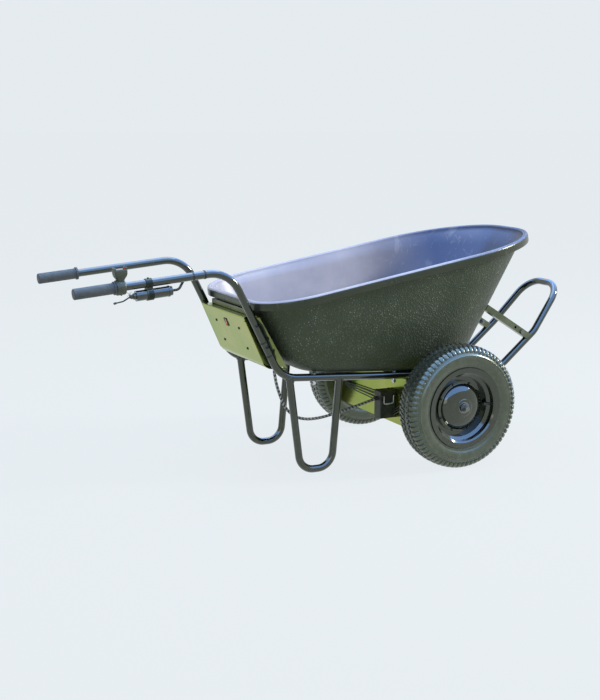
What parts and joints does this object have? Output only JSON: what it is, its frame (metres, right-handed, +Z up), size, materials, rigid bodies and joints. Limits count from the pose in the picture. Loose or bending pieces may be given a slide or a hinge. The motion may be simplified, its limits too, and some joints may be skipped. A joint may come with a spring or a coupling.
{
  "type": "power wheelbarrow",
  "caption": "Electric two-wheeled barrow: moulded tub on a bent tube frame, hub-motor wheels, twist throttle, rear battery compartment and tipping hoop.",
  "frame": {"origin": "on the ground, midway along the overall length and on the centre plane", "axes": "+X forward towards the tipping hoop, +Y to the operator's left, +Z up"},
  "size_m": [1.6681, 0.686, 0.681],
  "materials": {
    "black_powder_coat": "glossy black powder coat",
    "bright_sheet": "bright zinc-plated sheet",
    "zinc_fastener": "zinc-plated",
    "black_fastener": "black oxide",
    "tub_plastic": "moulded polyethylene with a fine pebble grain",
    "grip_rubber": "soft rubber",
    "black_plastic": "moulded nylon",
    "gloss_black_plastic": "gloss",
    "red_plastic": "gloss",
    "display_glass": "clear window",
    "battery_wrap": "shrink wrap",
    "cable_jacket": "cable jacket",
    "circuit": "glass-fibre board",
    "tyre_rubber": "moulded tyre rubber",
    "wheel_paint": "glossy black paint",
    "spring_steel": "spring steel",
    "magnet": "nickel-plated magnets on a steel ring",
    "stator_iron": "laminated iron with varnished windings",
    "axle_steel": "turned steel"
  },
  "bodies": {
    "chassis": {"frame_tube_right": "black_powder_coat", "frame_tube_left": "black_powder_coat", "tube_plugs": "black_plastic", "leg_right": "black_powder_coat", "leg_left": "black_powder_coat", "front_hoop": "black_powder_coat", "hoop_brace_right": "bright_sheet", "hoop_brace_left": "bright_sheet", "axle_carrier": "bright_sheet", "axle_plates": "black_powder_coat", "frame_bolts": "zinc_fastener", "tub": "tub_plastic", "tub_bolts": "zinc_fastener", "rear_panel": "bright_sheet", "panel_screws": "black_fastener", "battery_tray": "bright_sheet", "battery_pack": "battery_wrap", "battery_straps": "bright_sheet", "box_bolts": "zinc_fastener", "lip_bracket": "bright_sheet", "switch_body": "black_plastic", "grip_left": "grip_rubber", "throttle_housing": "black_plastic", "throttle_display": "display_glass", "barrel_switch": "gloss_black_plastic", "barrel_cap": "black_plastic", "barrel_clamp": "zinc_fastener", "lever_spring": "spring_steel", "control_box": "black_plastic", "control_lid": "black_plastic", "circuit_board": "circuit", "small_screws": "black_fastener", "cable_glands": "black_plastic", "handle_loom": "cable_jacket", "hanging_loom": "cable_jacket", "cable_ties": "black_plastic", "motor_leads": "cable_jacket", "stators": "stator_iron", "axles": "axle_steel", "bearings": "axle_steel", "axle_nuts": "zinc_fastener"},
    "wheel_right": {"tyre_right": "tyre_rubber", "rim_right": "wheel_paint", "inner_tube_right": "cable_jacket", "hub_shell_right": "wheel_paint", "hub_cover_right": "wheel_paint", "hub_screws_right": "zinc_fastener", "magnet_ring_right": "magnet"},
    "wheel_left": {"tyre_left": "tyre_rubber", "rim_left": "wheel_paint", "inner_tube_left": "cable_jacket", "hub_shell_left": "wheel_paint", "hub_cover_left": "wheel_paint", "hub_screws_left": "zinc_fastener", "magnet_ring_left": "magnet"},
    "twist_grip": {"twist_grip": "grip_rubber"},
    "throttle_button": {"throttle_button": "red_plastic"},
    "finger_lever": {"finger_lever": "spring_steel"},
    "switch_rocker": {"switch_rocker": "red_plastic"},
    "box_bail": {"box_bail": "spring_steel"}
  },
  "joints": [
    {"name": "wheel_right_spin", "type": "hinge", "parent": "chassis", "child": "wheel_right", "pos_m": [0.298, -0.29, 0.1855], "axis": [0, 1, 0], "continuous": true},
    {"name": "wheel_left_spin", "type": "hinge", "parent": "chassis", "child": "wheel_left", "pos_m": [0.298, 0.29, 0.1855], "axis": [0, 1, 0], "continuous": true},
    {"name": "throttle_twist", "type": "hinge", "parent": "chassis", "child": "twist_grip", "pos_m": [-0.77919, -0.172, 0.5744], "axis": [0.9961, 0, 0.0881], "range_deg": [0, 70], "stiffness_Nm_per_rad": 0.3},
    {"name": "button_press", "type": "slide", "parent": "chassis", "child": "throttle_button", "axis": [0.0881, 0, -0.9961], "range_m": [0, 0.0015], "stiffness_N_per_m": 400},
    {"name": "finger_lever_pull", "type": "hinge", "parent": "chassis", "child": "finger_lever", "pos_m": [-0.673, -0.172, 0.55418], "axis": [0, 1, 0], "range_deg": [0, 20], "stiffness_Nm_per_rad": 0.06},
    {"name": "rocker_toggle", "type": "hinge", "parent": "chassis", "child": "switch_rocker", "pos_m": [-0.32128, 0, 0.43711], "axis": [0, 1, 0], "range_deg": [-16, 0]},
    {"name": "bail_swing", "type": "hinge", "parent": "chassis", "child": "box_bail", "pos_m": [0.1665, -0.1124, 0.19], "axis": [1, 0, 0], "range_deg": [-110, 0]}
  ]
}
